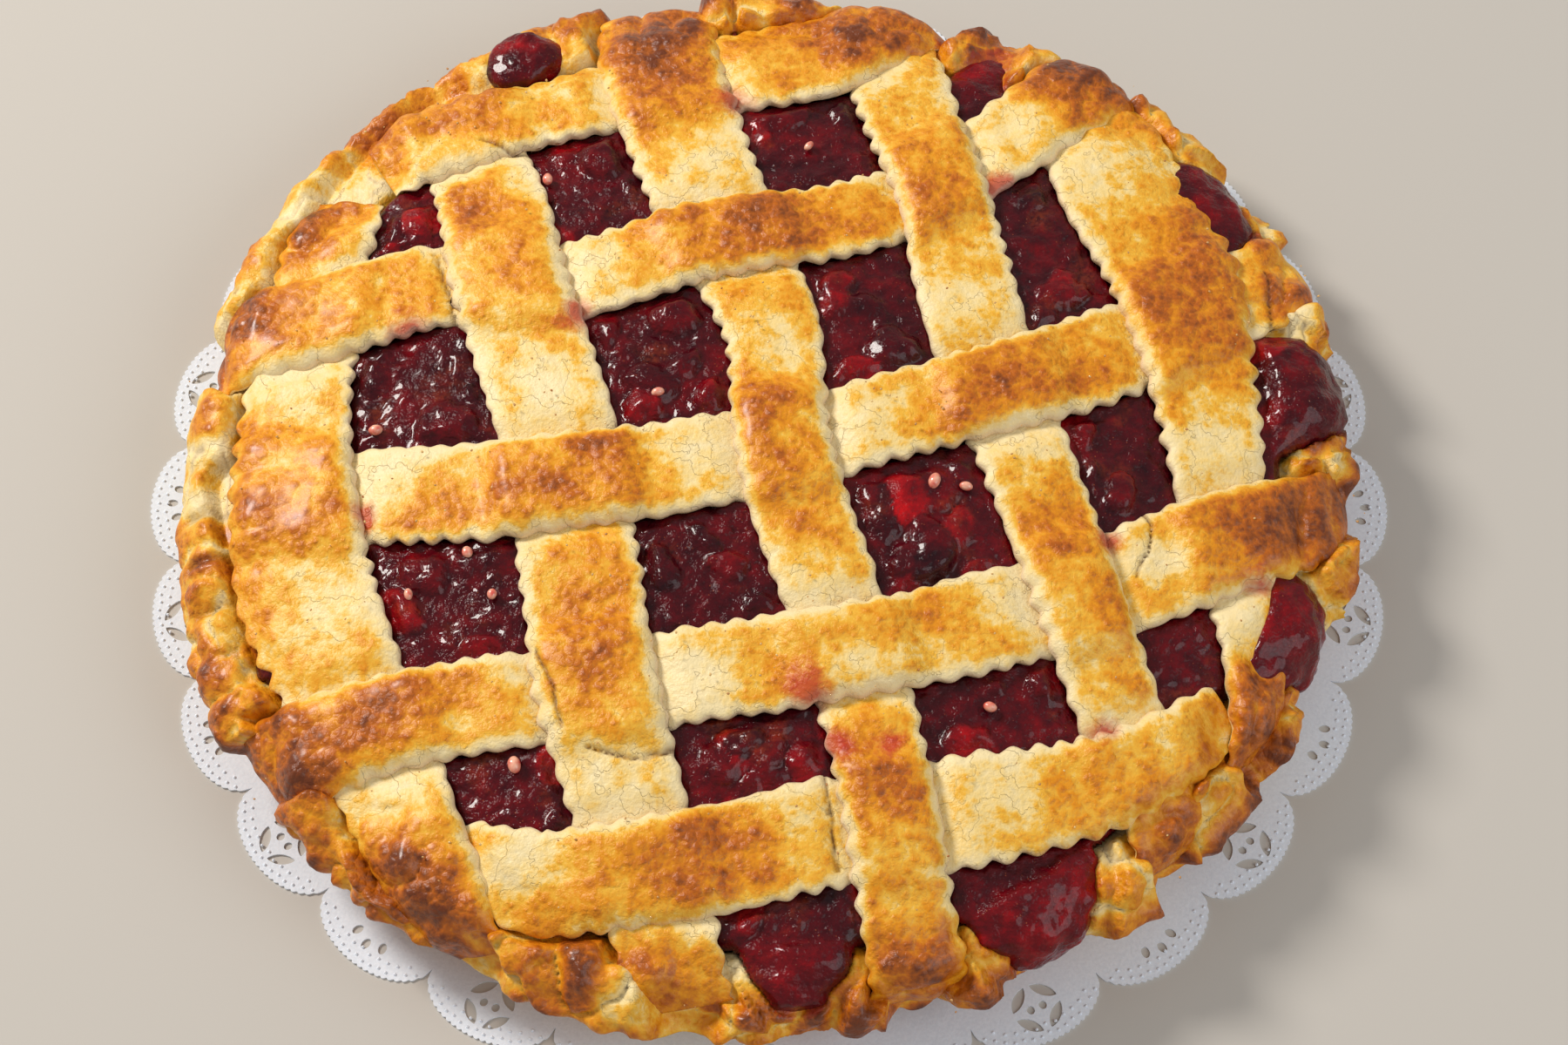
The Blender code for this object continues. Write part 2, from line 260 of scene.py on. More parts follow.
def tidy(mesh, merge=1e-6):
    """Merges seams, closes open ends and turns every face outwards."""
    work = bmesh.new()
    work.from_mesh(mesh)
    bmesh.ops.remove_doubles(work, verts=work.verts, dist=merge)
    rims = [edge for edge in work.edges if edge.is_boundary]
    bmesh.ops.holes_fill(work, edges=rims, sides=0)
    bmesh.ops.recalc_face_normals(work, faces=work.faces)
    work.to_mesh(mesh)
    work.free()
    mesh.shade_smooth()


def add_piece(name, mesh, node=None):
    """An object that moves with the pie and stands for a CAD node."""
    piece = bpy.data.objects.new(name, mesh)
    bpy.context.scene.collection.objects.link(piece)
    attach(piece, "root")
    if node:
        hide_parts(node)
    return piece


def grid_mesh(name, columns, rows):
    """A flat grid from 0 to 1 each way."""
    work = bmesh.new()
    bmesh.ops.create_grid(work, x_segments=columns, y_segments=rows, size=0.5)
    bmesh.ops.translate(work, verts=work.verts, vec=(0.5, 0.5, 0))
    mesh = bpy.data.meshes.new(name)
    work.to_mesh(mesh)
    work.free()
    return mesh


# %% [markdown]
# ## The strips of dough
# Each strip was rolled out, cut with a wavy pastry wheel, woven, brushed with egg and baked. A flat ribbon
# with a Solidify modifier would have hard, even edges. Here one grid is wrapped round the strip's section
# like a sleeve: most of its columns lie on top and crowd towards the edges, so the cut edge is round and
# its waves are sharp. Where a strip goes over another it swells, and where it goes under it stays low and
# pale. Its ends thin out and sink into the rim, as dough does when it is pressed on.

# %% Sizes, stains and cracks
THICKNESS = 3.4 * MM
WEAVE = 1.75 * MM
WAVE_PITCH, WAVE_DEPTH = 5.2 * MM, 0.56 * MM
TOP_SHARE = 0.72
STRIP_COLUMNS = 76
STATION = 0.62 * MM

# Places where juice has soaked into the dough: x, y and size
STAINS = (
    (-77, -12, 5), (-70, 28, 8), (-37, 30, 6), (-6, 84, 7), (48, 62, 6), (12, -62, 6), (7, -52, 7),
    (64, -20, 5), (22, -62, 5), (41, 96, 9), (93, -27, 5), (62, -58, 5), (47, 62, 5),
)
# Places that stayed pale or went brown: x, y, size and how much
TONES = (
    (-93, 19, 8, -0.30), (-81, -38, 9, -0.28), (-72, -4, 8, -0.34), (-42, 10, 9, -0.30), (-15, 0, 7, -0.36),
    (8, -32, 7, -0.30), (4, 26, 7, -0.20), (-34, 41, 8, -0.30), (-46, 86, 9, -0.18), (-8, 67, 10, -0.25),
    (41, 28, 9, -0.24), (18, 6, 8, -0.36), (49, -1, 7, -0.30), (64, -56, 6, -0.25), (86, 3, 9, -0.34),
    (68, 67, 8, -0.30), (49, 77, 8, -0.22), (-15, -50, 8, -0.36), (44, -31, 9, -0.25), (-29, -68, 9, -0.25),
    (4, -74, 7, -0.22), (39, -69, 10, -0.36), (-47, -81, 8, -0.40), (73, -23, 7, -0.36), (-71, -68, 9, -0.34),
    (90, -34, 5, -0.30), (104, 48, 8, -0.40),
    (-90, -3, 7, -0.14), (-79, 16, 4, 0.16), (-79, 6, 4, 0.16), (-100, 31, 10, 0.16), (-56, 58, 9, 0.24),
    (-48, 44, 8, 0.20), (-32, -3, 10, 0.18),
    (-19, 94, 10, 0.12), (-5, 51, 10, 0.14), (3, 6, 8, -0.10), (13, 98, 9, 0.14), (63, 83, 8, 0.24),
    (46, 12, 9, 0.24), (61, 19, 8, 0.16), (80, 39, 9, 0.20), (56, -18, 8, 0.20), (95, -14, 9, 0.20),
    (-73, -54, 11, 0.24), (-33, -34, 10, 0.10), (-16, -82, 10, 0.26), (57, -68, 9, 0.18), (23, -72, 9, 0.12),
    (-61, -83, 10, 0.18), (-69, 72, 9, -0.24), (-56, 79, 4, 0.16),
)
# Thin cracks, as places they pass through
CRACKS = (
    ((-66, 47), (-63, 38), (-61, 29)),
    ((-43, -43), (-40, -50), (-38, -58)),
    ((-57, 74), (-50, 72), (-42, 74)),
    ((96, 42), (97, 33), (98, 27)),
    ((10, -66), (11, -76), (12, -85)),
    ((-33, -62), (-24, -64), (-16, -62)),
    ((70, -10), (73, -18), (70, -27)),
)


def tone_at(x, y):
    """How much browner or paler than its strip each place is."""
    total = np.zeros(len(x))
    for tx, ty, size, amount in TONES:
        total += amount * np.exp(-(np.hypot(x - tx * MM, y - ty * MM) / (size * MM)) ** 2)
    return total


def stain_at(x, y, specks):
    """How far juice has soaked in, with an edge frayed by specks."""
    stain = np.zeros(len(x))
    for sx, sy, size in STAINS:
        stain = np.maximum(stain, 1 - np.hypot(x - sx * MM, y - sy * MM) / (size * MM) + 0.35 * specks)
    return stain * 1.1


def crack_depth(x, y, points):
    """How deep the cracks are at each place, from 0 to 1."""
    depth = np.zeros(len(x))
    jitter = 0.9 * MM * noise(points, 2.5 * MM, 31, 2)
    for crack in CRACKS:
        line = route([(px, py, 0) for px, py in crack], 0.4 * MM)
        gap = beside(line, x + jitter, y - jitter)
        depth = np.maximum(depth, np.exp(-((gap / (0.35 * MM)) ** 2)))
    return depth


print(len(STAINS), "stains,", len(TONES), "pale or brown places,", len(CRACKS), "cracks")


# %% Go over and under
def weave(x, y, crossed, goes_over):
    """The lift of a strip's middle, and how far it is over and under its neighbours, each from 0 to 1."""
    near_rim = smooth_step((np.hypot(x, y) - RIM_START + 8 * MM) / (8 * MM))
    flatter = smooth_step((np.hypot(x, y) - 80 * MM) / (14 * MM))
    rest = -WEAVE * near_rim
    lift, over, under = np.zeros(len(x)), np.zeros(len(x)), np.zeros(len(x))
    for path, on_top in zip(crossed, goes_over):
        share = 1 - smooth_step((beside(path, x, y) + 1.2 * MM) / (7 * MM))
        lift += share * WEAVE * (1 - 0.5 * flatter - 0.3 * near_rim if on_top else -1)
        if on_top:
            over = np.maximum(over, share)
        else:
            under = np.maximum(under, share)
    taken = np.maximum(over, under)
    return np.clip(lift + (1 - taken) * rest, -WEAVE, WEAVE), over, under


# %% Shape one strip
def strip_sleeve(name, path):
    """The grid of a strip; for each point its station, its place across from -1 to 1, and if it is on top."""
    mesh = grid_mesh(name, STRIP_COLUMNS, len(path) - 1)
    around, along = points_of(mesh)[:, :2].T
    station = np.rint(along * (len(path) - 1)).astype(int)
    top = around <= TOP_SHARE
    run = np.where(top, around / TOP_SHARE, (1 - around) / (1 - TOP_SHARE)) * 2 - 1
    return mesh, station, run * (1.5 - 0.5 * run**2), top


def strip_outline(path, station, across, seed):
    """Where each point lies from above. Each edge has waves of its own, here and there pressed flat."""
    ahead = np.gradient(path[:, :2], axis=0)
    ahead /= np.hypot(*ahead.T)[:, None]
    x0, y0, width = path[station].T
    side_x, side_y = -ahead[station, 1], ahead[station, 0]
    travelled = station * STATION
    flat = np.stack([x0, y0, np.sign(across) * 20 * MM + seed], axis=1)
    pressed = np.clip(0.75 + 0.75 * noise(flat, 12 * MM, seed), 0.1, 1.3)
    phase = TURN * travelled / WAVE_PITCH + 2.6 * noise(flat, 16 * MM, seed + 1) + seed
    tooth = 0.45 * (2 * np.abs(np.sin(phase / 2)) - 1.2) - 0.55 * np.cos(phase)
    wave = WAVE_DEPTH * pressed * tooth + 0.28 * MM * noise(flat, 2.2 * MM, seed + 8, 2)
    melted = smooth_step((np.hypot(x0, y0) - 96 * MM) / (10 * MM))
    half = width / 2 * (1 + (0.04 + 0.12 * melted) * noise(flat, 13 * MM, seed + 2))
    sideways = across * half + np.sign(across) * wave * np.abs(across) ** 3
    return x0 + side_x * sideways, y0 + side_y * sideways


def strip_piece(name, points, crossed, goes_over, seed):
    path = route(points, STATION)
    mesh, station, across, top = strip_sleeve(name, path)
    x, y = strip_outline(path, station, across, seed)
    lift, over, under = weave(x, y, crossed, goes_over)
    places = np.stack([x, y, np.zeros(len(x))], axis=1)
    # thickness: round shoulders on top, a flatter underside, thin at both ends
    travelled = station * STATION
    from_end = np.minimum(travelled, (len(path) - 1) * STATION - travelled)
    body = THICKNESS / 2 * (0.25 + 0.75 * smooth_step(from_end / (9 * MM)))
    shoulder = np.where(top, (1 - np.abs(across) ** 5) ** 0.45, -((1 - np.abs(across) ** 10) ** 0.35))
    # unevenness: gentle in the middle, knobbly on the rim
    lumps = noise(places, 11 * MM, seed + 3, 2) * 0.75 + noise(places, 3.2 * MM, seed + 4, 2) * 0.22
    rim = smooth_step((np.hypot(x, y) - 92 * MM) / (14 * MM))
    bumps = np.sqrt(np.abs(noise(layer(x, y, 0 * x), 6.5 * MM, seed + 7))) * 2 - 0.9
    swell = 0.5 * over + lumps * (0.9 + 1.2 * rim) + 1.0 * bumps * rim
    swell = np.maximum(swell, -0.5 * body / MM)
    crack = crack_depth(x, y, places) * top
    lift += body * shoulder + np.where(top, swell * MM, 0) * (1 - np.abs(across) ** 4)
    lift -= 1.2 * MM * over * np.abs(across) ** 5
    lift -= 1.2 * MM * (1 - smooth_step(from_end / (12 * MM))) * rim + 0.9 * MM * crack
    place_points(mesh, layer(x, y, lift))
    # how baked each place is
    edge = smooth_step((np.abs(across) - 0.66) / 0.34)
    patches = noise(places, 17 * MM, seed + 5, 2)
    specks = noise(places, 4.5 * MM, seed + 6, 2)
    brown = 0.49 + 0.08 * over * (1 - edge) - 0.26 * under - 0.40 * edge * (1 - 0.7 * rim)
    brown += 0.24 * rim + 0.26 * patches + 0.14 * specks + 0.10 * lumps + 0.10 * bumps * rim + tone_at(x, y)
    side = np.where(top, smooth_step((np.abs(across) - 0.93) / 0.07), 1.0) * (1 - rim)
    # the crack value also darkens the cracks in the finish as painted shade
    paint(mesh, brown=np.where(top, brown, 0.1), stain=stain_at(x, y, specks), side=side, crack=crack)
    tidy(mesh)
    return add_piece(name, mesh, name.removesuffix("_dough"))


# %% Weave the lattice
strips = []
for number, points in enumerate(V_POINTS, 1):
    on_top = [(number + h) % 2 == 0 for h in range(1, 6)]
    strips.append(strip_piece(f"strip_v{number}_dough", points, h_routes, on_top, 10 * number))
for number, points in enumerate(H_POINTS, 1):
    on_top = [(number + v) % 2 == 1 for v in range(1, 6)]
    strips.append(strip_piece(f"strip_h{number}_dough", points, v_routes, on_top, 100 + 10 * number))
print("strips:", sum(len(strip.data.polygons) for strip in strips), "faces")

# %% [markdown]
# ## Where the juice boiled over
# Juice welled up in the outer openings and ran down over the rim in six broad flows and two thin ones. Both
# the crust and the filling need to know where, so one function gives the thickness of the juice anywhere: a
# rounded tongue with a ragged edge for each flow.

# %% The flows
SPILL_START = 96 * MM
# Bearing and half width in degrees, how far across it reaches, how thick it lies, how bright it is
OVERFLOWS = (
    (9.0, 8.8, 120.5, 5.4, 0.0),
    (-20, 8.8, 122, 4.4, 0.9),
    (34, 10, 115, 3.6, 0.1),
    (64, 4.5, 111, 2.0, 0.6),
    (-62, 9.4, 121, 4.2, 1.0),
    (-87, 7.0, 114, 4.2, 0.3),
    (203.5, 3.6, 104.5, 3.2, 0.1),
    (93.3, 1.3, 106, 2.4, 0.2),
)


def overflow_height(x, y, weigh=False, margin=0.0):
    """How thick the spilled filling lies on the rim, or how bright it is. A margin widens it."""
    across, bearing = np.hypot(x, y), np.degrees(np.arctan2(y, x))
    ragged = 0.35 * noise(np.stack([x, y, 0 * x], axis=1), 6 * MM, 77, 2)
    thick, bright = np.zeros(len(x)), np.zeros(len(x))
    for middle, half, reach, height, shade in OVERFLOWS:
        away = np.abs((bearing - middle + 180) % 360 - 180) / half
        past = np.maximum((across - SPILL_START) / (reach * MM - SPILL_START), 0)
        inside = 1 - past**2.2 - (away * (1 + 0.75 * past)) ** 2.2 + ragged * (away < 1.6)
        inside = (inside + margin) * smooth_step((across - SPILL_START + 2 * MM) / (3 * MM))
        inside *= (away < 1.3 + margin) * (past < 1.25 + margin)
        layered = height * MM * np.sqrt(np.clip(inside, 0, 1))
        bright = np.where(layered > thick, shade, bright)
        thick = np.maximum(thick, layered)
    return bright if weigh else thick


print(len(OVERFLOWS), "flows")

# %% [markdown]
# ## The crust
# The bottom crust is a round shell whose edge was folded over the ends of the strips and pinched. A turned
# profile gives the shell: a few points spun into a full ring and merged. The folds are then pushed into it
# as ridged noise, with a row of fork slits on the left. It is brown where it stands proud and pale in the
# folds, as it is in an oven, and the slits and the hollows between its knobs are darkened with painted shade.

# %% Spin the crust
CRUST_STEPS = 960
RIM_TURNS = 64
RIM_FIRST, RIM_SPAN = 17.5, 21.5


def crust_profile():
    """Points (across, height) in mm from the middle of the underside round to the middle of the floor. On the
    rim the height is None, as the dome gives it."""
    base = [(0, 0), (46, 0), (80, 0), (90, 0.1), (93, 0.5), (94.5, 1.6)]
    wall = [(93 + 14 * t, 1.2 + 9.5 * t) for t in np.linspace(0.15, 1, 18)]
    rim = [(RIM_START / MM + RIM_FIRST - RIM_SPAN * t, None) for t in np.linspace(0, 1, RIM_TURNS)]
    inner = [(98, 17), (94, 12), (88, 6), (60, 5), (0, 5)]
    return base + wall + rim + inner


work = bmesh.new()
profile = crust_profile()
for place, (across, height) in enumerate(profile):
    # each ring's number is kept as its height until the rings are placed
    work.verts.new((across * MM, 0, place * MM))
work.verts.ensure_lookup_table()
for a, b in zip(work.verts[:-1], work.verts[1:]):
    work.edges.new((a, b))
bmesh.ops.spin(
    work, geom=work.verts[:] + work.edges[:], cent=(0, 0, 0), axis=(0, 0, 1), angle=TURN,
    steps=CRUST_STEPS, use_merge=True,
)
crust_mesh = bpy.data.meshes.new("crust_baked")
work.to_mesh(crust_mesh)
work.free()
print("crust:", len(crust_mesh.polygons), "faces")

# %% Bend the crust onto the dome
at = points_of(crust_mesh)
across, bearing = np.hypot(at[:, 0], at[:, 1]), np.arctan2(at[:, 1], at[:, 0])
ring = np.rint(at[:, 2] / MM).astype(int)
heights = np.array([np.nan if height is None else height for _, height in profile])[ring]
on_rim = np.isnan(heights)
x, y = across * np.cos(bearing), across * np.sin(bearing)
wander = rim_wander(bearing) + rim_reach(bearing) + 0.8 * brim_reach(bearing)
wander *= smooth_step((across - 60 * MM) / (40 * MM))
wall_x, wall_y = (across + wander) * np.cos(bearing), (across + wander) * np.sin(bearing)
wall = np.stack([wall_x, wall_y, np.nan_to_num(heights) * MM + crust_foot], axis=1) + PIE_MIDDLE
smooth = np.where(on_rim[:, None], layer(x, y, 0), wall)
print("crust rim:", int(on_rim.sum()), "points")

# %% Fold, pinch and slit the rim
# Lift in mm where the crust lies under strips and juice, and how far it stands up from there elsewhere
SUNK, RAISED = -3.8, 4.0
folds = 1 - np.abs(noise(smooth, 15 * MM, 401, 2)) * 2.6
knobs = np.sqrt(np.abs(noise(smooth, 6.2 * MM, 402))) * 2.2 - 1.1
lumps = noise(smooth, 3.6 * MM, 405, 2)
fine = noise(smooth, 2.1 * MM, 406, 2) * 1.4
# the rim stays low under strips and juice, but was folded over the very ends of the strips
near = (across > 92 * MM) & on_rim
clear = np.full(len(x), 1.0)
clear[near] = np.min([beside(path, x[near], y[near]) for path in v_routes + h_routes], axis=0)
folded = smooth_step((across - 107 * MM - 9 * MM * noise(smooth, 12 * MM, 407)) / (4 * MM))
proud = smooth_step((clear + 0.3 * MM) / (2.8 * MM) + 1.3 * folded)
drowned = smooth_step(overflow_height(x, y) / (2.4 * MM))
beside_spill = smooth_step(overflow_height(x, y, margin=0.7) / (2 * MM))
# fork slits on the left, where the rim is flattest
slits = np.abs(np.sin((bearing - 0.02) * 33)) ** 16 * hill(bearing, 189, 9) * on_rim
slits *= smooth_step((across - 101 * MM) / (2 * MM)) * smooth_step((113 * MM - across) / (3 * MM))
uneven = 1.0 * folds + 1.5 * knobs + 1.2 * lumps + 0.4 * fine
uneven *= (1 - 0.5 * beside_spill) * (1 - 0.6 * hill(bearing, 176, 24))
raised = RAISED + uneven - 2.2 * slits - 2.4 * beside_spill
lift = (SUNK + proud * (1 - drowned) * (raised + 0.6 * folded) - 0.5 * drowned) * MM
# the rim's outer edge rolls under, and its inner edge dips below the strips
roll_end = smooth_step((across - 116 * MM) / (5 * MM))
lift = lift * (1 - roll_end) + (-2.4 + 0.8 * knobs + 0.5 * lumps) * MM * roll_end
lift -= 2.2 * MM * smooth_step((RIM_START - 1.5 * MM - across) / (3 * MM))
bent = layer(x, y, np.where(on_rim, lift, 0))
bulge = (0.9 * knobs + 0.6 * lumps + 0.3 * fine) * MM * smooth_step((across - 91 * MM) / (3 * MM))
outward = np.stack([np.cos(bearing), np.sin(bearing), 0 * x], axis=1)
place_points(crust_mesh, np.where(on_rim[:, None], bent, wall + outward * bulge[:, None]))
print("rim lift up to", round(float(lift[on_rim].max() / MM), 1), "mm")

# %% Brown the crust
brown = 0.55 + 0.18 * lumps + 0.10 * folds + 0.32 * knobs + 0.60 * noise(smooth, 17 * MM, 404, 2)
low = smooth_step((14 * MM - smooth[:, 2]) / (10 * MM))
brown -= 0.18 * low + 0.22 * hill(bearing, 175, 30)
soaked = 0.5 * smooth_step(overflow_height(x, y) / MM * 3)
# painted shade: the fork slits and the hollows between knobs are darkened through the crack value
crease_and_slit_shade = 0.7 * slits + 0.5 * smooth_step((-0.55 - knobs) / 0.5)
paint(crust_mesh, brown=brown, stain=soaked, side=np.zeros(len(x)), crack=crease_and_slit_shade)
tidy(crust_mesh)
crust = add_piece("crust_baked", crust_mesh, "crust")
print("crust:", len(crust_mesh.polygons), "faces")

# %% [markdown]
# ## The filling
# Cooked cherries sit in thick dark juice that wells up between the strips and runs over the rim. Separate
# cherries packed in a liquid would be heavy and mostly hidden, so the filling is one skin: a fine grid, laid
# on the same dome, that rises in each opening, with a rounded hump for each sunk fruit. Its edge is then
# pulled down and closed, so it stays a solid.

# %% Cut a flat sheet of filling
GRID_STEP = 0.6 * MM
SHEET = 244 * MM
FRUITS = 260
segments = round(SHEET / GRID_STEP)
filling_mesh = grid_mesh("filling_jam", segments, segments)
flat = (points_of(filling_mesh) - 0.5) * SHEET
flat[:, 2] = 0
place_points(filling_mesh, flat)
work = bmesh.new()
work.from_mesh(filling_mesh)
spill = overflow_height(flat[:, 0], flat[:, 1])
keep = (np.hypot(flat[:, 0], flat[:, 1]) < 99.5 * MM) | (spill > 0)
work.verts.ensure_lookup_table()
bmesh.ops.delete(work, geom=[work.verts[k] for k in np.flatnonzero(~keep)], context="VERTS")
work.to_mesh(filling_mesh)
work.free()
flat = points_of(filling_mesh)
x, y = flat[:, 0], flat[:, 1]
print("filling:", len(filling_mesh.polygons), "faces")

# %% Sink the fruit in it
clear = np.min([beside(path, x, y) for path in v_routes + h_routes], axis=0)
rise = smooth_step((clear + 2.4 * MM) / (2.6 * MM))
middle = smooth_step((clear - 0.5 * MM) / (3.5 * MM))
warp_x = x + 1.3 * MM * noise(flat, 3.5 * MM, 55, 2)
warp_y = y + 1.3 * MM * noise(flat, 3.5 * MM, 56, 2)
random = np.random.default_rng(5)
humps, tone = np.zeros(len(x)), np.zeros(len(x))
for _ in range(FRUITS):
    angle, far = random.uniform(0, TURN), 100 * MM * math.sqrt(random.uniform(0, 1))
    fx, fy, size = far * math.cos(angle), far * math.sin(angle), random.uniform(3.5, 6.5) * MM
    turn, squash = random.uniform(0, math.pi), random.uniform(0.6, 1)
    from_x, from_y = warp_x - fx, warp_y - fy
    dx = from_x * math.cos(turn) + from_y * math.sin(turn)
    dy = from_y * math.cos(turn) - from_x * math.sin(turn)
    dome = 1 - (dx**2 + (dy / squash) ** 2) / size**2
    hump = np.sqrt(np.clip(dome, 0, 1)) * size * random.uniform(0.25, 0.5)
    tone = np.where(hump > humps, random.uniform(-1, 1), tone)
    humps = np.maximum(humps, hump)
print(FRUITS, "fruits, up to", round(float(humps.max() / MM), 1), "mm high")

# %% Raise it in the openings and over the rim
grain = noise(flat, 2.6 * MM, 52, 3)
fine_grain = noise(flat, 1.3 * MM, 58, 1)
lift = -3.6 * MM + rise * (2.2 + 0.2 * middle) * MM + 0.95 * humps * middle
lift += (0.5 * noise(flat, 12 * MM, 51, 2) + 0.62 * grain + 0.2 * fine_grain) * MM * rise
spill = overflow_height(x, y)
across = np.hypot(x, y)
over_rim = smooth_step((across - 97 * MM) / (3 * MM))
ripple = 0.75 * noise(flat, 5 * MM, 53, 2) + 0.45 * grain + 0.15 * fine_grain
spilled = -3.9 * MM + spill * 1.15 + ripple * MM * np.minimum(spill / MM, 1)
lift = lift * (1 - over_rim) + np.where(spill > 0, spilled, -4.5 * MM) * over_rim
place_points(filling_mesh, layer(x, y, lift))
red = 0.36 + 0.3 * noise(flat, 9 * MM, 54, 3) + (0.12 + 0.34 * tone) * smooth_step(humps / MM - 0.2)
bright = overflow_height(x, y, weigh=True)
paint(filling_mesh, red=red, fresh=over_rim * bright * smooth_step(spill / MM))

# %% Pull its edge down and close it
SKIRT_WIDTH, SKIRT_WIDTH_ON_RIM, SKIRT_DROP = 3 * MM, 1.5 * MM, 1.5 * MM
work = bmesh.new()
work.from_mesh(filling_mesh)
rim_edges = [edge for edge in work.edges if edge.is_boundary]
skirt = bmesh.ops.extrude_edge_only(work, edges=rim_edges)["geom"]
skirt_points = [part for part in skirt if isinstance(part, bmesh.types.BMVert)]
for point in skirt_points:
    out = Vector((point.co.x - PIE_MIDDLE[0], point.co.y - PIE_MIDDLE[1], 0))
    width = SKIRT_WIDTH if out.length < 102 * MM else SKIRT_WIDTH_ON_RIM
    point.co -= out.normalized() * width + Vector((0, 0, SKIRT_DROP))
work.to_mesh(filling_mesh)
work.free()
tidy(filling_mesh, merge=1e-7)
filling = add_piece("filling_jam", filling_mesh, "filling")
print("filling:", len(filling_mesh.polygons), "faces")

# %% [markdown]
# ## The cherry on the rim
# One cherry boiled over on the far left and dried on the crust. It starts as an icosphere, squashed and
# dented, and its lower side is sunk in the dough.

# %% Shape the rim cherry
cherry_low, cherry_high = (np.array(corner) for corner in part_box("rim_cherry"))


def ball_mesh(name, detail):
    """A ball with a radius of 1."""
    work = bmesh.new()
    bmesh.ops.create_icosphere(work, subdivisions=detail, radius=1)
    mesh = bpy.data.meshes.new(name)
    work.to_mesh(mesh)
    work.free()
    mesh.shade_smooth()
    return mesh


cherry_mesh = ball_mesh("rim_cherry_baked", 5)
ball = points_of(cherry_mesh)
dents = 0.26 * noise(ball, 0.9, 61, 2) + 0.05 * noise(ball, 0.25, 62, 2)
ball *= (1 + dents)[:, None]
span = np.ptp(ball, axis=0)
cherry_size = (cherry_high - cherry_low) * (1.15, 1.1, 0.86)
place_points(cherry_mesh, (cherry_low + cherry_high) / 2 + (0, 0, 0.3 * MM) + ball / span * cherry_size)
paint(cherry_mesh, red=0.48 + 0.5 * noise(ball, 0.6, 63, 2), fresh=np.full(len(ball), 0.15))
rim_cherry = add_piece("rim_cherry_baked", cherry_mesh, "rim_cherry")
print("rim cherry:", np.round(cherry_size / MM, 1), "mm")

# %% [markdown]
# ## The paper doily
# Under the pie lies a round paper lace doily. It has 28 lobes, each with a finely scalloped edge, punched
# holes and pressed dots. An image of lace would leave the edge a flat circle. A doily is punched flat, so its
# outline and holes are drawn as loops of edges and filled in one go, which leaves the holes open, and the
# sheet is then made as thick as the CAD says. The pressed dots are small domes along each lobe.

# %% Loops for the doily
LOBES = 28
FIRST_LOBE = math.radians(-0.9)
TIP, NOTCH = 124.6 * MM, 116.4 * MM
SCALLOPS_PER_LOBE = 22
SCALLOP_DEPTH = 0.45 * MM
POINTS_PER_SCALLOP, POINTS_PER_HOLE = 6, 20


def loop_edges(work, places):
    """The edges of a closed loop through some flat places."""
    corners = [work.verts.new((px, py, 0)) for px, py in places]
    return [work.edges.new((a, b)) for a, b in zip(corners, corners[1:] + corners[:1])]


def doily_edge(bearing):
    """The lobed outline with its fine scallops."""
    part = (bearing - FIRST_LOBE) * LOBES / TURN
    swing = np.abs(part - np.round(part)) * 2
    scallop = SCALLOP_DEPTH * (np.abs(np.sin(math.pi * part * SCALLOPS_PER_LOBE)) - 1)
    return NOTCH + (TIP - NOTCH) * np.sqrt(np.clip(1 - swing**2, 0, 1)) ** 0.9 + scallop


def hole(work, middle, across, length, width, turn=0.0, power=1.0):
    """A pointed oval hole at a bearing and distance, leaning by turn; a low power makes it square."""
    t = np.linspace(0, TURN, POINTS_PER_HOLE, endpoint=False)
    along, aside = length / 2 * np.cos(t), width / 2 * np.sin(t) * np.abs(np.sin(t)) ** power
    out = across + along * math.cos(turn) - aside * math.sin(turn)
    wide = along * math.sin(turn) + aside * math.cos(turn)
    c, s = math.cos(middle), math.sin(middle)
    return loop_edges(work, [(c * o - s * w, s * o + c * w) for o, w in zip(out, wide)])


def flower(work, middle):
    """Four leaves round two small square holes."""
    heart, ring = 117.6 * MM, 3.7 * MM
    edges = []
    for leaf in range(4):
        lean = math.radians(45 + 90 * leaf)
        spot = middle + ring * math.sin(lean) / heart
        out = heart + ring * math.cos(lean)
        edges += hole(work, spot, out, 5.4 * MM, 2.1 * MM, lean + math.pi / 2, 0.6)
    for aside in (-1.25 * MM, 1.25 * MM):
        edges += hole(work, middle + aside / heart, heart, 1.7 * MM, 1.5 * MM, 0, 0.05)
    return edges


def three_holes(work, middle):
    """A bowed row of three square holes."""
    heart = 118.6 * MM
    edges = []
    for aside in (-3.1, 0, 3.1):
        out = heart + (1.6 - 0.12 * aside**2) * MM
        edges += hole(work, middle + aside * MM / heart, out, 2.3 * MM, 1.6 * MM, aside / 9, 0.05)
    return edges


# %% Draw, fill and thicken the doily
work = bmesh.new()
around = np.linspace(0, TURN, LOBES * SCALLOPS_PER_LOBE * POINTS_PER_SCALLOP, endpoint=False)
edge_far = doily_edge(around)
edges = loop_edges(work, zip(edge_far * np.cos(around), edge_far * np.sin(around)))
for lobe in range(LOBES):
    punch = flower if lobe % 2 else three_holes
    edges += punch(work, FIRST_LOBE + lobe * TURN / LOBES)
bmesh.ops.triangle_fill(work, use_beauty=True, use_dissolve=False, edges=edges)
bmesh.ops.recalc_face_normals(work, faces=work.faces)
sheet_faces = bmesh.ops.extrude_face_region(work, geom=work.faces[:])["geom"]
raised = [part for part in sheet_faces if isinstance(part, bmesh.types.BMVert)]
bmesh.ops.translate(work, verts=raised, vec=(0, 0, doily_top))
bmesh.ops.recalc_face_normals(work, faces=work.faces)
print("doily sheet:", len(work.faces), "faces")

# %% Press dots along each lobe
DOT = 0.36 * MM
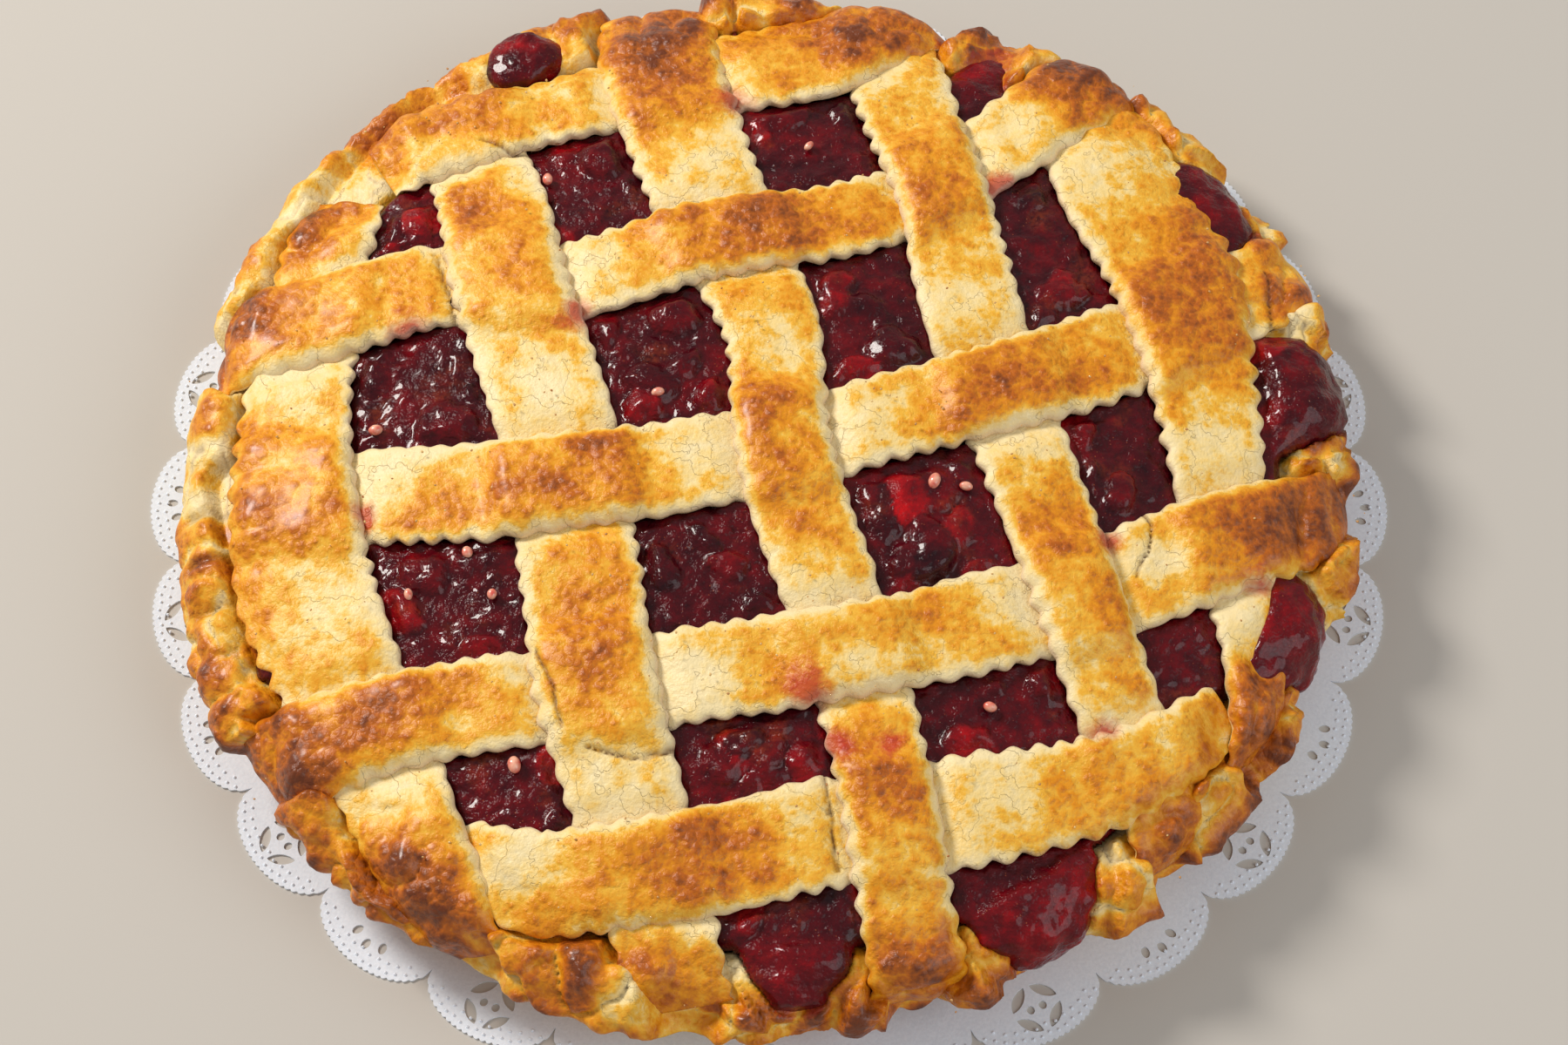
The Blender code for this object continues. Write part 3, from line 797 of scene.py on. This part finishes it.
# Each row's distance from the edge, its reach to each side as a share of a lobe, and its number of dots
DOT_ROWS = ((1.3 * MM, 0.43, 15), (3.1 * MM, 0.36, 11))
for lobe in range(LOBES):
    for inset, reach, count in DOT_ROWS:
        for share in np.linspace(-reach, reach, count):
            bearing = FIRST_LOBE + (lobe + share) * TURN / LOBES
            far = doily_edge(bearing) - inset
            spot = Matrix.Translation((far * math.cos(bearing), far * math.sin(bearing), doily_top))
            bmesh.ops.create_icosphere(work, subdivisions=1, radius=DOT, matrix=spot)
doily_mesh = bpy.data.meshes.new("doily_paper")
work.to_mesh(doily_mesh)
work.free()
doily = add_piece("doily_paper", doily_mesh, "doily")
print("doily:", len(doily_mesh.polygons), "faces")

# %% [markdown]
# ## Seeds and crumbs
# Small things show how big a pie is: a few pale seeds in the juice, and toasted crumbs on the strips and the
# rim. They are scattered from fixed places or a fixed random seed, and set on the dome with the same layer
# function, so each sits on what is below it.

# %% Scatter the small things
CRUMBS = 500
# Seeds in the juice: x, y and length
SEEDS = (
    (-44, 65, 2.6), (9, 72, 2.4), (-76, 7, 2.8), (-21, 12, 2.6), (-57, -21, 2.4), (-52, -30, 2.2),
    (-68, -29, 2.4), (32, -8, 3.4), (38, -9, 2.6), (-47, -64, 3.4), (41, -54, 2.6),
)


def scatter(name, spots, detail, seed, squash=0.75, rough=0.12):
    """One mesh of small lumps; each spot is x, y, lift, size."""
    work = bmesh.new()
    draw = np.random.default_rng(seed)
    for sx, sy, lift, size in spots:
        spin = Matrix.Rotation(draw.uniform(0, TURN), 4, "Z")
        spin = spin @ Matrix.Rotation(draw.uniform(-0.4, 0.4), 4, "X")
        shape = Matrix.Diagonal((size / 2, size / 2 * draw.uniform(0.6, 0.85), size / 2 * squash, 1))
        place = Matrix.Translation(layer(np.array([sx]), np.array([sy]), np.array([lift]))[0])
        bmesh.ops.create_icosphere(work, subdivisions=detail, radius=1, matrix=place @ spin @ shape)
    mesh = bpy.data.meshes.new(name)
    work.to_mesh(mesh)
    work.free()
    flat = points_of(mesh)
    grow = 1 + rough * noise(flat, 1.1 * MM, seed, 2)
    middle = flat - PIE_MIDDLE
    place_points(mesh, flat + middle / np.linalg.norm(middle, axis=1)[:, None] * ((grow - 1) * MM)[:, None])
    mesh.shade_smooth()
    return add_piece(name, mesh)


seed_spots = [(sx * MM, sy * MM, 0.1 * MM, size * MM) for sx, sy, size in SEEDS]
seeds = scatter("seeds", seed_spots, 3, 71)
draw = np.random.default_rng(8)
crumb_spots = []
while len(crumb_spots) < CRUMBS:
    angle, far = draw.uniform(0, TURN), draw.uniform(20, 114) * MM
    sx, sy = far * math.cos(angle), far * math.sin(angle)
    gap = min(float(beside(path, sx, sy)) for path in h_routes + v_routes)
    if gap < -2 * MM:
        crumb_spots.append((sx, sy, draw.uniform(2.6, 3.2) * MM, draw.uniform(0.25, 0.7) * MM))
crumbs = scatter("crumbs", crumb_spots, 1, 72)
print(len(seed_spots), "seeds,", len(crumb_spots), "crumbs")

# %% [markdown]
# ## Finishes
# Node trees are easier to read as sums than as boxes and wires. A small class wraps a socket, so that
# ordinary Python arithmetic adds the Math nodes. Any other node comes from one method, which takes its
# type, its settings and its inputs.


# %% Sums that build nodes
class Wire:
    """A socket of a node tree that can be added, multiplied and so on."""

    def __init__(self, tree, socket):
        self.tree, self.socket = tree, socket

    def node(self, kind, output=0, settings=None, **inputs):
        """Any node: its type and settings, which are set first, then values or links for its sockets. A
        socket goes by its name, or by its number as i0, i1 and so on."""
        made = self.tree.nodes.new(kind)
        for name, value in (settings or {}).items():
            if name == "stops":
                elements = made.color_ramp.elements
                while len(elements) < len(value):
                    elements.new(1)
                for element, (place, tint) in zip(elements, value):
                    element.position, element.color = place, tint
            else:
                setattr(made, name, value)
        for name, value in inputs.items():
            key = int(name[1:]) if name[0] == "i" and name[1:].isdigit() else name.replace("_", " ")
            if isinstance(value, Wire):
                self.tree.links.new(value.socket, made.inputs[key])
            else:
                made.inputs[key].default_value = value
        return Wire(self.tree, made.outputs[output])

    def sum(self, operation, a, b):
        return self.node("ShaderNodeMath", settings={"operation": operation}, i0=a, i1=b)

    def __add__(self, other):
        return self.sum("ADD", self, other)

    def __radd__(self, other):
        return self.sum("ADD", other, self)

    def __sub__(self, other):
        return self.sum("SUBTRACT", self, other)

    def __rsub__(self, other):
        return self.sum("SUBTRACT", other, self)

    def __mul__(self, other):
        return self.sum("MULTIPLY", self, other)

    def __rmul__(self, other):
        return self.sum("MULTIPLY", other, self)

    def clamp(self, low=0.0, high=1.0):
        """This value rescaled so that low gives 0 and high gives 1."""
        kept_in = {"clamp": True}
        return self.node("ShaderNodeMapRange", settings=kept_in, Value=self, From_Min=low, From_Max=high)

    def blend(self, share, other):
        """This colour mixed with another colour by a share. A Mix node's colours are sockets 6 and 7."""
        return self.node("ShaderNodeMix", 2, {"data_type": "RGBA"}, i0=share, i6=self, i7=other)

    def ramp(self, *stops):
        """A colour for each value, from stops of (place, colour)."""
        return self.node("ShaderNodeValToRGB", settings={"stops": stops}, i0=self)

    def grain(self, size, detail=2.0, seed=0.0):
        """Noise from 0 to 1 on object coordinates, with features of a size in metres."""
        shift = {"operation": "ADD"}
        place = self.node("ShaderNodeVectorMath", settings=shift, i0=self, i1=(seed, seed, seed))
        return self.node("ShaderNodeTexNoise", Vector=place, Scale=1 / size, Detail=detail)

    def painted(self, name):
        """The value painted on the points under a name."""
        return self.node("ShaderNodeAttribute", 2, settings={"attribute_name": name})


def colour(red, green, blue):
    """A display colour of 0 to 255 as the linear values that shaders use."""
    shares = (value / 255 for value in (red, green, blue))
    return (*(s / 12.92 if s <= 0.04045 else ((s + 0.055) / 1.055) ** 2.4 for s in shares), 1)


def finish(name, **fixed):
    """A material, its object coordinates and its shader, whose constants are set on its own sockets."""
    material = bpy.data.materials.new(name)
    material.use_nodes = True
    tree = material.node_tree
    shader = tree.nodes["Principled BSDF"]
    for key, value in fixed.items():
        shader.inputs[key.replace("_", " ")].default_value = value
    places = Wire(tree, tree.nodes.new("ShaderNodeTexCoord").outputs["Object"])
    return material, places, shader


def connect(shader, **wires):
    """Links what varies over a surface to the shader."""
    for key, wire in wires.items():
        wire.tree.links.new(wire.socket, shader.inputs[key.replace("_", " ")])


def bumped(height, distance, strength=1.0):
    """A normal from a height, with the depth in metres that a height of 1 stands for."""
    return height.node("ShaderNodeBump", Height=height, Distance=distance, Strength=strength)


def wear(material, *worn):
    for piece in worn:
        piece.data.materials.clear()
        piece.data.materials.append(material)
    print(material.name, "on", len(worn), "pieces")


# %% [markdown]
# ## Baked dough
# One finish serves strips and crust. The painted value brown says how baked a place is, and finer noise
# breaks it up. It runs from pale cream through gold to dark toast. Juice stains it pink, the sides that
# touch the juice go greyish, and the egg wash makes it shine where it is brown. Cracks, slits and creases
# get painted shade.

# %% Finish the dough
dough, places, shader = finish("egg_washed_dough", Specular_IOR_Level=0.3, Coat_Roughness=0.2)
fine, middle_size = places.grain(0.8 * MM, 4), places.grain(3.4 * MM, 3, 3.1)
large = places.grain(12 * MM, 3, 5.7)
blisters = places.node("ShaderNodeTexVoronoi", Vector=places, Scale=1 / (1.9 * MM))
baked = places.painted("brown") + (fine - 0.5) * 0.30 + (middle_size - 0.5) * 0.6 + (large - 0.5) * 0.5
baked = baked + (0.42 - blisters) * 0.16
toast = baked.clamp().ramp(
    (0.0, colour(240, 219, 168)),
    (0.25, colour(240, 208, 134)),
    (0.38, colour(236, 180, 60)),
    (0.56, colour(224, 143, 18)),
    (0.78, colour(186, 96, 12)),
    (1.0, colour(112, 50, 12)),
)
stain = (places.painted("stain") + (fine - 0.5) * 0.4 + (middle_size - 0.5) * 0.5).clamp(0.25, 0.85)
tinted = toast.blend(stain * 0.85, colour(186, 50, 36))
tinted = tinted.blend(places.painted("side") * 0.5, colour(206, 176, 156))
# hairline cracks run where a noise crosses its middle value. They, the strips' cracks and the rim's creases
# and slits are darkened with painted shade
level = places.grain(9 * MM, 4, 8.8) - 0.5
flake = level.node("ShaderNodeMath", settings={"operation": "ABSOLUTE"}, i0=level)
flake = (0.006 - flake).clamp(0, 0.006) * baked.clamp(0.5, 0.2)
crack_shade = places.painted("crack") * 0.85 + flake * 0.14
tinted = tinted.blend(crack_shade, colour(104, 52, 18))
rough_skin = (0.5 - blisters) * baked.clamp(0.35, 0.75) * 0.8
relief = fine * 0.34 + middle_size * 0.5 + rough_skin + places.grain(0.35 * MM, 2, 9.2) * 0.08 - flake * 0.15
connect(shader, Base_Color=tinted, Roughness=(fine - baked * 0.35).clamp(-0.4, 1.3) * 0.36 + 0.22,
        Coat_Weight=baked.clamp(0.35, 1.0) * 0.34, Normal=bumped(relief, 0.9 * MM, 0.9))
wear(dough, *strips, crust)

# %% [markdown]
# ## Cherry juice
# Cooked juice is nearly black where it is deep and bright red where it is thin, and it is always wet. Deep
# glass-like juice would be slow and wouldn't export, so the colour carries the depth and a coat the shine.

# %% Finish the filling
juice, places, shader = finish("cherry_juice", Specular_IOR_Level=0.12, Coat_Weight=0.3, Coat_Roughness=0.04)
swirl, fine, pulp = places.grain(3.4 * MM, 3), places.grain(0.9 * MM, 3, 2.2), places.grain(1.8 * MM, 2, 4.4)
cells = places.node("ShaderNodeTexVoronoi", Vector=places, Scale=1 / (1.1 * MM))
fresh = places.painted("fresh")
depth = places.painted("red") * 0.85 + (swirl - 0.5) * 0.8 + (fine - 0.5) * 0.3 + fresh * 0.24
red = depth.clamp().ramp(
    (0.0, colour(38, 3, 12)),
    (0.3, colour(72, 4, 15)),
    (0.55, colour(104, 4, 15)),
    (0.8, colour(148, 5, 16)),
    (1.0, colour(196, 12, 20)),
)
# pale specks of pulp, and a caramel film where juice dried
speck = (0.16 - cells).clamp(0, 0.1) * places.grain(5 * MM, 2, 6.6).clamp(0.5, 0.62)
red = red.blend(speck * 0.6, colour(190, 96, 60))
film = places.grain(9 * MM, 3, 7.7).clamp(0.58, 0.72) * (fine.clamp(0.3, 0.7))
red = red.blend(film * 0.45 * (1 - fresh), colour(150, 66, 30))
connect(shader, Base_Color=red, Roughness=fine.clamp(0.2, 0.8) * 0.14 + 0.05,
        Normal=bumped(swirl * 0.35 + pulp * 0.45 + fine * 0.3 + speck * 0.1, 1.2 * MM, 1.0))
wear(juice, filling, rim_cherry)

# %% [markdown]
# ## Seeds, crumbs and paper
# Seeds are pale and pinkish with juice, crumbs are toasted unevenly, and doily paper is a dull bluish white
# with a faint fibre. They are small, so one noise for the colour and one for the roughness is enough.

# %% Finish the seeds, crumbs and paper
seed_skin, places, shader = finish("pale_seed", Coat_Weight=0.7, Coat_Roughness=0.1)
skin = places.grain(1.5 * MM).ramp((0.35, colour(240, 178, 150)), (0.65, colour(214, 84, 70)))
connect(shader, Base_Color=skin, Roughness=places.grain(0.6 * MM).clamp() * 0.2 + 0.25)
wear(seed_skin, seeds)
toasted, places, shader = finish("toasted_crumb", Coat_Weight=0.2)
skin = places.grain(4 * MM).ramp((0.3, colour(236, 200, 130)), (0.7, colour(170, 100, 40)))
connect(shader, Base_Color=skin, Roughness=places.grain(0.5 * MM).clamp() * 0.3 + 0.35)
wear(toasted, crumbs)
paper, places, shader = finish("doily_paper", Specular_IOR_Level=0.3)
fibre = places.grain(0.6 * MM, 4)
white = fibre.ramp((0.3, colour(222, 227, 236)), (0.7, colour(232, 237, 245)))
connect(shader, Base_Color=white, Roughness=fibre * 0.2 + 0.65, Normal=bumped(fibre, 0.12 * MM, 0.6))
wear(paper, doily)

# %% [markdown]
# ## The stage
# The pie stands on a plain pale floor in soft studio light: a large soft lamp high on the far left, as by a
# window, and a weak one opposite. The camera looks down steeply with a long lens.

# %% Set the stage
FLOOR_REACH = 3
work = bmesh.new()
bmesh.ops.create_grid(work, x_segments=1, y_segments=1, size=FLOOR_REACH)
floor_mesh = bpy.data.meshes.new("floor")
work.to_mesh(floor_mesh)
work.free()
floor = bpy.data.objects.new("floor", floor_mesh)
bpy.context.scene.collection.objects.link(floor)
cloth, places, shader = finish("pale_floor")
shader.inputs["Base Color"].default_value = colour(192, 186, 178)
shader.inputs["Roughness"].default_value = 0.8
wear(cloth, floor)


def soft_lamp(name, place, size, watts, tint):
    """A round lamp that shines on the middle of the pie."""
    lamp = bpy.data.lights.new(name, "AREA")
    lamp.shape, lamp.size, lamp.energy, lamp.color = "DISK", size, watts, tint
    holder = bpy.data.objects.new(name, lamp)
    holder.location = place
    holder.rotation_euler = (-Vector(place)).to_track_quat("-Z", "Y").to_euler()
    bpy.context.scene.collection.objects.link(holder)


soft_lamp("window_lamp", (-0.95, 0.65, 0.95), 0.4, 20, (1, 0.96, 0.9))
soft_lamp("fill_lamp", (0.9, -0.5, 0.8), 0.9, 5, (0.92, 0.96, 1))
world = bpy.data.worlds.new("studio")
world.use_nodes = True
world.node_tree.nodes["Background"].inputs["Color"].default_value = (1, 0.98, 0.95, 1)
world.node_tree.nodes["Background"].inputs["Strength"].default_value = 0.42
bpy.context.scene.world = world
bpy.context.scene.view_settings.view_transform = "Standard"
print("lamps and sky set")

# %% Place the camera
ELEVATION, DISTANCE, ROLL = math.radians(62.2), 0.662, math.radians(0.59)
FOCAL_LENGTH, SENSOR_WIDTH = 75.36, 36
# How far the view's middle lies from the doily's, to the right and down
AIM_RIGHT, AIM_DOWN = 3.2 * MM, 3.3 * MM
forward = Vector((0, math.cos(ELEVATION), -math.sin(ELEVATION)))
right, up = Vector((1, 0, 0)), Vector((0, math.sin(ELEVATION), math.cos(ELEVATION)))
rolled_right = right * math.cos(ROLL) - up * math.sin(ROLL)
rolled_up = right * math.sin(ROLL) + up * math.cos(ROLL)
camera_data = bpy.data.cameras.new("camera")
camera_data.lens, camera_data.sensor_width, camera_data.clip_start = FOCAL_LENGTH, SENSOR_WIDTH, 0.01
camera = bpy.data.objects.new("camera", camera_data)
turned = Matrix((rolled_right, rolled_up, -forward)).transposed()
place = -forward * DISTANCE + rolled_right * AIM_RIGHT - rolled_up * AIM_DOWN
camera.matrix_world = Matrix.Translation(place) @ turned.to_4x4()
bpy.context.scene.collection.objects.link(camera)
bpy.context.scene.camera = camera
print("camera", [round(value, 3) for value in place])

# %% Update the scene
bpy.context.view_layer.update()
